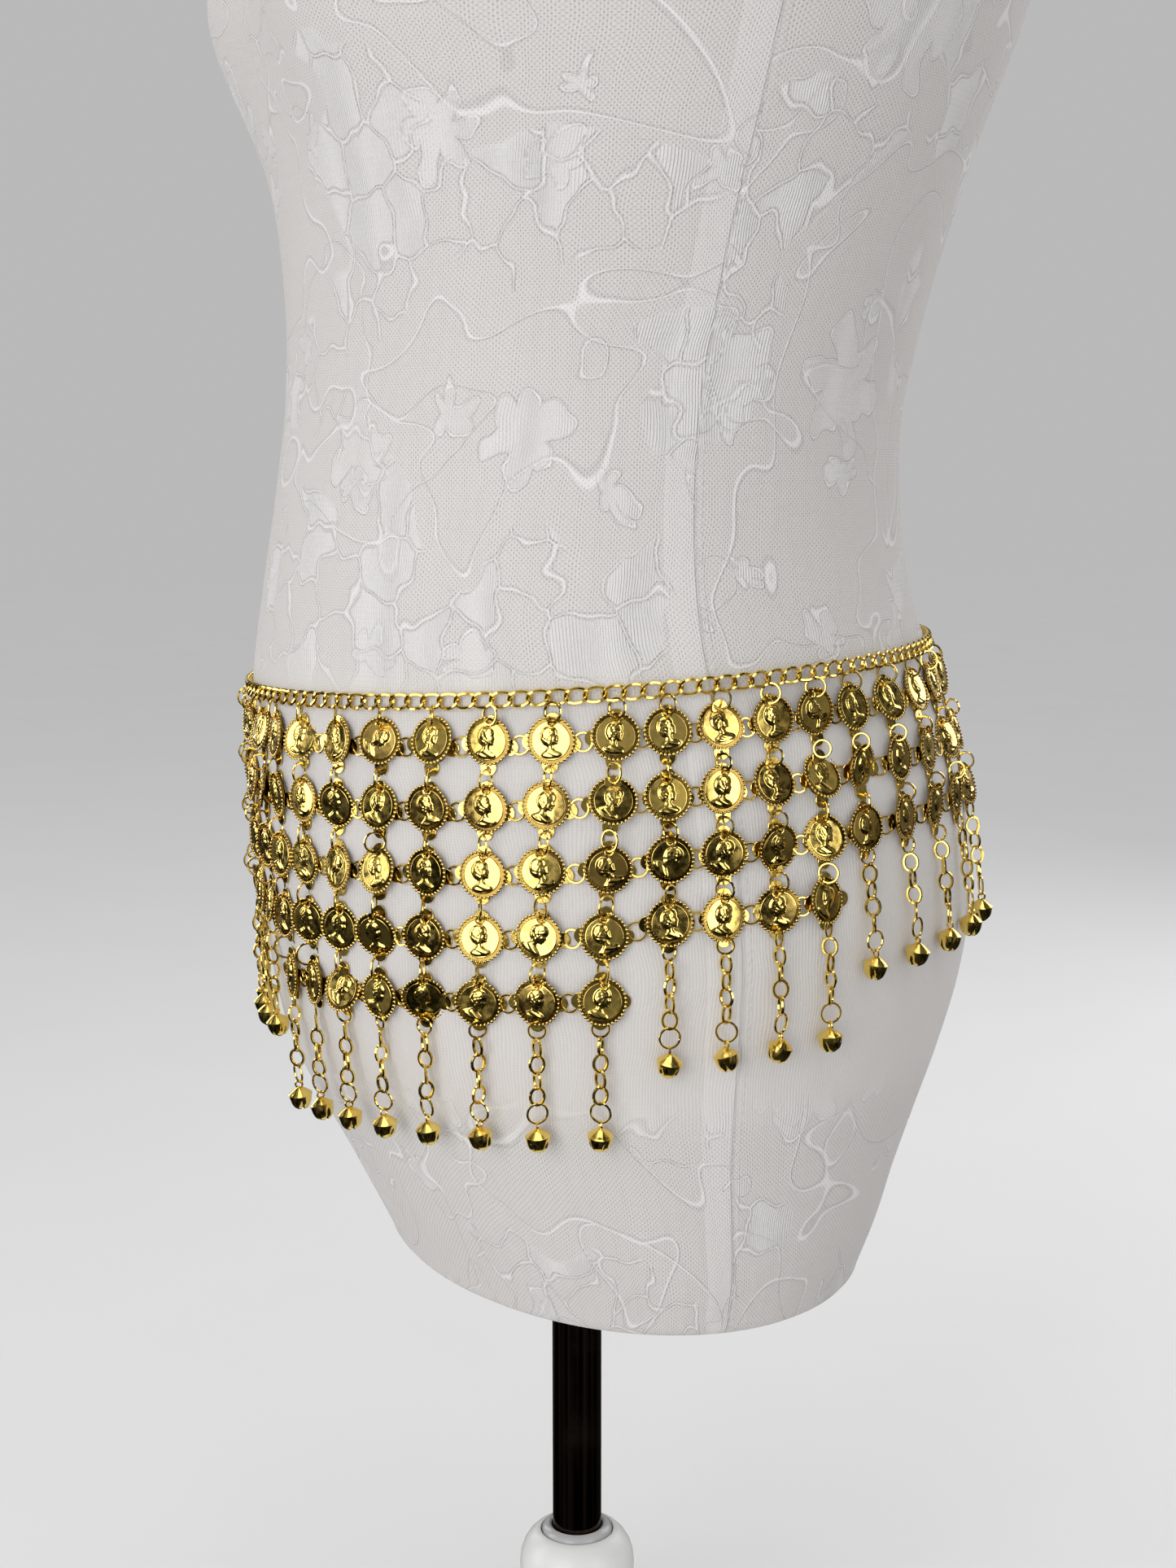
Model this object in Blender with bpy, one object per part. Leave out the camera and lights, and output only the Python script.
# Coin waist chain worn by a limbless dress form on a table stand.
# Sizes below are in millimetres; the form faces -Y, its left side is +X, and the floor is z = 0.

import math

import bmesh
import bpy
from mathutils import Vector

MM = 0.001
GAP = 0.3

# Form: one row for each level, from the flat bottom to the neck.
# Columns: height, half width (left to right), half depth (front to back), shift to the back.
FORM_SECTIONS = (
    (242, 114, 84.9, 17.0),
    (260, 121, 92.7, 15.9),
    (280, 125, 101.4, 14.5),
    (300, 128, 111.3, 13.6),
    (320, 131, 120.1, 13.6),
    (345, 133, 127.6, 15.0),
    (370, 134, 131.1, 15.7),
    (395, 133, 131.2, 14.4),
    (425, 131, 129.6, 11.7),
    (455, 127, 124.3, 6.8),
    (484, 122, 117.0, 3.4),
    (513, 117, 112.8, 3.8),
    (545, 115, 110.6, 6.1),
    (570, 117, 112.3, 9.4),
    (600, 123, 115.8, 13.4),
    (640, 134, 121.0, 20.0),
    (690, 147, 131.0, 27.0),
    (740, 160, 127.0, 31.0),
    (790, 168, 112.0, 34.0),
    (830, 169, 94.0, 35.0),
    (858, 154, 77.0, 35.0),
    (878, 124, 64.0, 35.0),
    (893, 88, 58.0, 34.0),
    (908, 66, 55.0, 32.0),
    (936, 58, 53.0, 29.0),
)
FORM_SIDES = 36
FORM_BOTTOM = 236.0
FORM_BOTTOM_ROUND = ((239.0, 2.2), (236.8, 6.0), (FORM_BOTTOM, 10.0))
FORM_LEVELS = (242, 262, 284, 305, 325, 346, 370, 398, 420, 438, 450, 462, 474, 486, 502, 524,
               550, 578, 608, 636, 660, 684, 710, 742, 776, 808, 834, 854, 870, 882, 893, 908, 936)
NECK_TOP_ROUND = ((938.6, 1.2), (940.0, 4.0))
BUST_CENTRE = (68.0, 690.0)
BUST_RISE = 27.0
BUST_SPREAD = 41.0

# Belt line on the form: a plane that is low in front and a little high on the form's left side.
BELT_HEIGHT = 457.7
BELT_BACK_RISE = 0.066
BELT_SIDE_RISE = 0.019
BELT_CENTRE_ARC = 87.5
BELT_STEPS = 1440

# Chain: flat links laid against the form.
CHAIN_HEIGHT = 5.8
CHAIN_WAIST = 4.2
CHAIN_THICK = 2.4
CHAIN_LINK_PITCH = 5.9
CHAIN_OFF_FORM = 0.6
CLASP_ROOM = 17.0
CLASP_WIDTH = 6.0
CLASP_THICK = 3.0
# Clasp: place along it from end to end, share of its full width.
CLASP_OUTLINE = ((-1.0, 0.45), (-0.75, 0.8), (-0.3, 1.0), (0.3, 1.0), (0.75, 0.7), (1.0, 0.4))

# Net: columns of coins that hang from the chain, in three kinds on each side of its centre.
# Columns: coins in a column, columns of that kind on each side, distance between them,
# distance from the kind before (for the first kind twice its distance from the centre),
# distance between its coins, sideways slope on the side past the centre.
NET_KINDS = (
    (5, 4, 19.6, 19.6, 21.1, -0.055),
    (4, 4, 17.0, 15.4, 20.2, 0.0),
    (3, 5, 19.0, 16.0, 20.0, 0.0),
)
# Hang: a column's path is worked out in steps, and its rings draw it in by this slope at most.
HANG_STEP = 1.0
TUCK_SLOPE = 0.12
COIN_RADIUS = 7.9
COIN_SHOULDER = 0.62
COIN_TIP = 0.9
FIRST_COIN_DROP = 12.8
PLATE_BACK = 0.5
PLATE_FRONT = 2.5
LOBE_HALF_WIDTH = 3.2
LOBE_HALF_HEIGHT = 3.1
SIDE_LOBE_GAP = 0.35
FREE_LOBE_REACH = 9.6
TOP_RING_START = 3.4
TOP_RING_HALF_WIDTH = 2.6

# Dangle under each column: distance below the last coin's centre, half width, half thickness.
DANGLE_STATIONS = (
    (9.2, 3.0, 0.9),
    (12.2, 1.1, 1.1),
    (17.8, 2.2, 1.2),
    (23.1, 1.1, 1.1),
    (28.5, 2.2, 1.2),
    (33.2, 1.2, 1.1),
    (36.9, 3.2, 0.9),
    (40.6, 1.1, 1.0),
)
BELL_RADIUS = 4.0
BELL_CLEAR = 0.6
# Bell: distance below the last coin's centre, share of its radius.
BELL_RINGS = ((41.8, 0.35), (43.2, 0.72), (45.0, 1.0), (47.6, 0.93), (49.9, 0.35))
BELL_SIDES = 8

# Stand.
EDGE_ROUND = 2.0
POLE_RADIUS = 9.5
# Hub, from its domed top down to its foot on the base: radius, height.
HUB_PROFILE = ((12.5, 118.0), (18.5, 115.0), (21.6, 109.5), (22.4, 102.0), (22.0, 88.0),
               (22.0, 60.0), (27.0, 40.0), (40.0, 24.0), (58.0, 14.0))
HUB_CLEAR = 0.4
BASE_RADIUS = 160.0
BASE_THICK = 9.0
STAND_SIDES = 32
# Neck cap, from its seat up: radius, height above the seat.
CAP_PROFILE = ((51.0, 0.0), (51.0, 2.5), (48.0, 5.5), (37.0, 9.0))

GOLD = ((0.86, 0.62, 0.20, 1.0), 0.18, 1.0)
CLOTH = ((0.86, 0.84, 0.83, 1.0), 0.85, 0.0)
DARK_METAL = ((0.05, 0.04, 0.04, 1.0), 0.15, 1.0)
WHITE_PLASTIC = ((0.88, 0.88, 0.87, 1.0), 0.35, 0.0)


def finish(name, look):
    """A material with one colour, roughness and metallic value."""
    colour, roughness, metallic = look
    material = bpy.data.materials.new(name)
    material.use_nodes = True
    shader = material.node_tree.nodes["Principled BSDF"]
    shader.inputs["Base Color"].default_value = colour
    shader.inputs["Roughness"].default_value = roughness
    shader.inputs["Metallic"].default_value = metallic
    return material


def add_object(name, mesh_builder, material):
    """Closes the builder's faces outward and links them as one object."""
    bmesh.ops.recalc_face_normals(mesh_builder, faces=mesh_builder.faces[:])
    mesh = bpy.data.meshes.new(name)
    mesh_builder.to_mesh(mesh)
    mesh_builder.free()
    mesh.shade_smooth()
    mesh.set_sharp_from_angle(angle=math.radians(35))
    mesh.materials.append(material)
    obj = bpy.data.objects.new(name, mesh)
    bpy.context.scene.collection.objects.link(obj)
    return obj


def bridge(builder, lower, upper):
    """Joins two rings of the same number of vertices with quads."""
    count = len(lower)
    for i in range(count):
        j = (i + 1) % count
        builder.faces.new((lower[i], lower[j], upper[j], upper[i]))


def ring(builder, points):
    """Adds a ring of points, given in millimetres."""
    return [builder.verts.new(Vector(p) * MM) for p in points]


def form_section(z):
    """Half width, half depth and back shift at a height: a cubic through the table's rows.

    Each row's slope is that of the line through its two neighbours.
    """
    rows = FORM_SECTIONS
    if z <= rows[0][0]:
        return rows[0][1:]
    if z >= rows[-1][0]:
        return rows[-1][1:]
    k = max(i for i in range(len(rows) - 1) if rows[i][0] <= z)
    z0, z1 = rows[k][0], rows[k + 1][0]
    before, after = rows[max(k - 1, 0)], rows[min(k + 2, len(rows) - 1)]
    t = (z - z0) / (z1 - z0)
    values = []
    for c in (1, 2, 3):
        p0, p1 = rows[k][c], rows[k + 1][c]
        m0 = (p1 - before[c]) / (z1 - before[0]) * (z1 - z0)
        m1 = (after[c] - p0) / (after[0] - z0) * (z1 - z0)
        values.append((2 * t**3 - 3 * t**2 + 1) * p0 + (t**3 - 2 * t**2 + t) * m0
                      + (3 * t**2 - 2 * t**3) * p1 + (t**3 - t**2) * m1)
    return tuple(values)


def form_point(angle, z, inset=0.0):
    """A point of the form: an ellipse at its height, with two low mounds in front."""
    half_width, half_depth, shift = form_section(z)
    x = (half_width - inset) * math.sin(angle)
    y = shift - (half_depth - inset) * math.cos(angle)
    front = max(0.0, math.cos(angle))
    side, height = BUST_CENTRE
    for centre in (-side, side):
        reach = (x - centre) ** 2 + (z - height) ** 2
        y -= BUST_RISE * math.sqrt(front) * math.exp(-reach / (2 * BUST_SPREAD**2))
    return (x, y, z)


def build_torso():
    """The padded form: rings from the rounded bottom edge to the neck."""
    builder = bmesh.new()
    angles = [2 * math.pi * i / FORM_SIDES for i in range(FORM_SIDES)]
    levels = [(z, inset) for z, inset in reversed(FORM_BOTTOM_ROUND)]
    levels += [(z, 0.0) for z in FORM_LEVELS]
    levels += list(NECK_TOP_ROUND)
    rings = [ring(builder, [form_point(a, z, inset) for a in angles]) for z, inset in levels]
    for lower, upper in zip(rings, rings[1:]):
        bridge(builder, lower, upper)
    builder.faces.new(rings[0])
    builder.faces.new(rings[-1])
    return add_object("form_torso", builder, finish("stretch_lace", CLOTH))


def turned(name, profile, material, centre_y=0.0, bore=0.0):
    """A turned solid from a profile of (radius, height), around a bore or solid to the axis."""
    builder = bmesh.new()
    angles = [2 * math.pi * i / STAND_SIDES for i in range(STAND_SIDES)]

    def circle(radius, z):
        return ring(builder, [(radius * math.sin(a), centre_y - radius * math.cos(a), z) for a in angles])

    rings = [circle(radius, z) for radius, z in profile]
    if bore:
        rings += [circle(bore, profile[-1][1]), circle(bore, profile[0][1])]
    for lower, upper in zip(rings, rings[1:]):
        bridge(builder, lower, upper)
    if bore:
        bridge(builder, rings[-1], rings[0])
    else:
        builder.faces.new(rings[0])
        builder.faces.new(rings[-1])
    return add_object(name, builder, material)


def build_stand():
    """Pole, hub and base plate below the form, and the cap that closes its neck."""
    plastic = finish("white_plastic", WHITE_PLASTIC)
    metal = finish("dark_polished_metal", DARK_METAL)
    inner = BASE_RADIUS - EDGE_ROUND
    turned("stand_base", ((inner, 0.0), (BASE_RADIUS, EDGE_ROUND),
                          (BASE_RADIUS, BASE_THICK - EDGE_ROUND), (inner, BASE_THICK)), plastic)
    foot = BASE_THICK + GAP
    turned("stand_hub", HUB_PROFILE + ((HUB_PROFILE[-1][0], foot),), plastic, bore=POLE_RADIUS + HUB_CLEAR)
    turned("stand_pole", ((POLE_RADIUS, foot), (POLE_RADIUS, FORM_BOTTOM - GAP)), metal)
    seat = NECK_TOP_ROUND[-1][0] + GAP
    turned("form_neck_cap", [(radius, seat + rise) for radius, rise in CAP_PROFILE],
           plastic, centre_y=FORM_SECTIONS[-1][3])


def belt_point(angle):
    """The belt line's point on the form's surface at an angle."""
    x = y = 0.0
    z = BELT_HEIGHT
    for _ in range(6):
        x, y, _z = form_point(angle, z)
        z = BELT_HEIGHT + BELT_BACK_RISE * y + BELT_SIDE_RISE * x
    return Vector((x, y, z))


def belt_normal(angle, z):
    """The level outward direction of the form's ellipse at an angle."""
    half_width, half_depth, _shift = form_section(z)
    return Vector((math.sin(angle) / half_width, -math.cos(angle) / half_depth, 0.0)).normalized()


def belt_arc_table():
    """Angles round the belt line and the length of the line up to each."""
    angles = [2 * math.pi * i / BELT_STEPS for i in range(BELT_STEPS + 1)]
    lengths = [0.0]
    last = belt_point(0.0)
    for a in angles[1:]:
        point = belt_point(a)
        lengths.append(lengths[-1] + (point - last).length)
        last = point
    return angles, lengths


def angle_at(arc, table):
    """The angle at which the belt line has run a given length from the front."""
    angles, lengths = table
    arc = arc % lengths[-1]
    k = max(0, min(len(lengths) - 2, int(arc / lengths[-1] * BELT_STEPS)))
    while lengths[k + 1] < arc:
        k += 1
    while lengths[k] > arc:
        k -= 1
    share = (arc - lengths[k]) / (lengths[k + 1] - lengths[k])
    return angles[k] + share * (angles[k + 1] - angles[k])


def reach_at(base, normal, z):
    """How far outward of a belt point the form's ellipse lies at a height, or None past its side."""
    half_width, half_depth, shift = form_section(z)
    ax, ay = base.x / half_width, (base.y - shift) / half_depth
    bx, by = normal.x / half_width, normal.y / half_depth
    qa, qb, qc = bx * bx + by * by, 2 * (ax * bx + ay * by), ax * ax + ay * ay - 1
    root = qb * qb - 4 * qa * qc
    if root <= 0:
        return None
    return (-qb + math.sqrt(root)) / (2 * qa)


def band(name, table, stations, off_form, thick, material):
    """A strip laid along the belt line and against the form's slope.

    Each station gives its length along the line and its height.
    """
    builder = bmesh.new()
    rings = []
    for arc, height in stations:
        angle = angle_at(arc, table)
        base = belt_point(angle)
        normal = belt_normal(angle, base.z)
        low, high = base.z - height / 2, base.z + height / 2
        foot = base + normal * (reach_at(base, normal, low) + off_form) - Vector((0, 0, height / 2))
        head = base + normal * (reach_at(base, normal, high) + off_form) + Vector((0, 0, height / 2))
        rise = (head - foot).normalized()
        outward = (normal - rise * normal.dot(rise)).normalized() * thick
        rings.append(ring(builder, (foot, foot + outward, head + outward, head)))
    for one, two in zip(rings, rings[1:]):
        bridge(builder, one, two)
    builder.faces.new(rings[0])
    builder.faces.new(rings[-1])
    add_object(name, builder, material)


def build_chain(table):
    """The chain as a band whose edges swell at each link, and the clasp in its gap at the back."""
    length = table[1][-1]
    middle_back = BELT_CENTRE_ARC + length / 2
    run = length - CLASP_ROOM
    links = round(run / CHAIN_LINK_PITCH)
    start = middle_back + CLASP_ROOM / 2
    gold = finish("gold_plate", GOLD)
    stations = [(start + run * i / (2 * links), CHAIN_HEIGHT if i % 2 else CHAIN_WAIST)
                for i in range(2 * links + 1)]
    band("waist_chain", table, stations, CHAIN_OFF_FORM, CHAIN_THICK, gold)
    half = CLASP_ROOM / 2 - GAP
    stations = [(middle_back + share * half, width * CLASP_WIDTH) for share, width in CLASP_OUTLINE]
    band("clasp", table, stations, CHAIN_OFF_FORM, CLASP_THICK, gold)
    return gold


def hang_path(base, normal):
    """Points from the belt line down: along the form, and off it where it turns in too steeply.

    Each entry is length so far, reach outward from the belt point, and height.
    """
    path = [(0.0, 0.0, base.z)]
    reach = 0.0
    z = base.z
    while z > FORM_BOTTOM:
        z -= HANG_STEP
        reach = max(reach - TUCK_SLOPE * HANG_STEP, reach_at(base, normal, z) or reach)
        last = path[-1]
        path.append((last[0] + math.hypot(reach - last[1], z - last[2]), reach, z))
    return path


def path_at(path, length):
    """Outward reach and height at a length down the path."""
    for one, two in zip(path, path[1:]):
        if two[0] >= length:
            share = (length - one[0]) / (two[0] - one[0])
            return (one[1] + share * (two[1] - one[1]), one[2] + share * (two[2] - one[2]))
    return path[-1][1:]


def coin_stations(left_reach, right_reach):
    """Stations down one coin and its plate: distance from its centre, half widths left and right."""
    def rim(v):
        return math.sqrt(COIN_RADIUS**2 - v * v)

    shoulder = COIN_SHOULDER * COIN_RADIUS
    tip = COIN_TIP * COIN_RADIUS
    rows = ((tip, LOBE_HALF_WIDTH, LOBE_HALF_WIDTH), (shoulder, rim(shoulder), rim(shoulder)),
            (LOBE_HALF_HEIGHT, rim(LOBE_HALF_HEIGHT), rim(LOBE_HALF_HEIGHT)))
    above = [(-v, l, r) for v, l, r in rows]
    below = [(v, l, r) for v, l, r in reversed(rows)]
    return above + [(0.0, left_reach, right_reach)] + below


def net_columns():
    """Every column from one end to the other: distance from the centre, and its kind's row."""
    half = []
    place = 0.0
    for kind in NET_KINDS:
        _coins, count, pitch, first, _row_pitch, _slope = kind
        for i in range(count):
            if i:
                place += pitch
            else:
                place += first / 2 if not half else first
            half.append((place, kind))
    return [(-place, kind) for place, kind in reversed(half)] + half


def sideways(place, kind):
    """A column's sideways slope: full past the net's centre, fading out before it."""
    fade = NET_KINDS[0][2] * (NET_KINDS[0][1] - 0.5)
    return kind[5] * min(1.0, max(0.0, (place + fade) / fade))


def plan_column(place, kind, table):
    """Where a column hangs: its belt point, directions, path and the centre of each coin."""
    base_angle = angle_at(BELT_CENTRE_ARC + place, table)
    base = belt_point(base_angle)
    normal = belt_normal(base_angle, base.z)
    side = Vector((-normal.y, normal.x, 0.0))
    path = hang_path(base, normal)
    slope = sideways(place, kind)
    rows = [FIRST_COIN_DROP + i * kind[4] for i in range(kind[0])]

    def point(length, out):
        reach, z = path_at(path, length)
        hung = min(length, rows[-1])
        return Vector((base.x, base.y, z)) + normal * (reach + out) + side * (slope * hung)

    return {"normal": normal, "side": side, "rows": rows, "point": point,
            "coins": [point(v, PLATE_BACK) for v in rows]}


def lobe_reach(column, neighbour, row):
    """How far a plate's side lobe reaches: half the way to the next column's plate, or free."""
    if neighbour is None or row >= len(neighbour["coins"]):
        return FREE_LOBE_REACH
    away = neighbour["coins"][row] - column["coins"][row]
    return min(FREE_LOBE_REACH, abs(away.dot(column["side"])) / 2 - SIDE_LOBE_GAP)


def build_column(name, column, before, after, gold):
    """One column of the net: plates joined by their lobes and rings, a dangle and a bell."""
    side, normal, point = column["side"], column["normal"], column["point"]
    builder = bmesh.new()
    rings = []

    def station(middle, outward, left, right, back, front):
        rings.append(ring(builder, (middle - side * left + outward * back,
                                    middle + side * right + outward * back,
                                    middle + side * right + outward * front,
                                    middle - side * left + outward * front)))

    thick = PLATE_FRONT - PLATE_BACK
    station(point(TOP_RING_START, PLATE_BACK), normal, TOP_RING_HALF_WIDTH, TOP_RING_HALF_WIDTH, 0.0, thick)
    for row, centre in enumerate(column["rows"]):
        top, bottom = point(centre - COIN_RADIUS, PLATE_BACK), point(centre + COIN_RADIUS, PLATE_BACK)
        down = (bottom - top).normalized()
        outward = (normal - down * normal.dot(down)).normalized()
        reaches = lobe_reach(column, before, row), lobe_reach(column, after, row)
        for v, left, right in coin_stations(*reaches):
            middle = top.lerp(bottom, (v + COIN_RADIUS) / (2 * COIN_RADIUS))
            station(middle, outward, left, right, 0.0, thick)

    last = column["rows"][-1]
    first_out = (PLATE_BACK + PLATE_FRONT) / 2
    bell_out = BELL_RADIUS + BELL_CLEAR
    for v, half_width, half_thick in DANGLE_STATIONS:
        out = first_out + (bell_out - first_out) * v / DANGLE_STATIONS[-1][0]
        station(point(last + v, out), normal, half_width, half_width, -half_thick, half_thick)
    for one, two in zip(rings, rings[1:]):
        bridge(builder, one, two)
    builder.faces.new(rings[0])

    bell = []
    for v, share in BELL_RINGS:
        middle = point(last + v, bell_out)
        points = []
        for i in range(BELL_SIDES):
            turn = 2 * math.pi * i / BELL_SIDES - 3 * math.pi / 4
            points.append(middle + (side * math.cos(turn) + normal * math.sin(turn)) * (BELL_RADIUS * share))
        bell.append(ring(builder, points))
    stem, crown = rings[-1], bell[0]
    for i in range(4):
        j = (i + 1) % 4
        a, b, c = crown[2 * i], crown[2 * i + 1], crown[(2 * i + 2) % BELL_SIDES]
        builder.faces.new((stem[i], a, b))
        builder.faces.new((stem[i], b, stem[j]))
        builder.faces.new((stem[j], b, c))
    for one, two in zip(bell, bell[1:]):
        bridge(builder, one, two)
    builder.faces.new(bell[-1])
    add_object(name, builder, gold)


def build_net(table, gold):
    columns = [plan_column(place, kind, table) for place, kind in net_columns()]
    for i, column in enumerate(columns):
        before = columns[i - 1] if i else None
        after = columns[i + 1] if i + 1 < len(columns) else None
        build_column(f"column_{i + 1:02d}", column, before, after, gold)


for old in list(bpy.data.objects):
    bpy.data.objects.remove(old, do_unlink=True)
build_torso()
build_stand()
arcs = belt_arc_table()
build_net(arcs, build_chain(arcs))
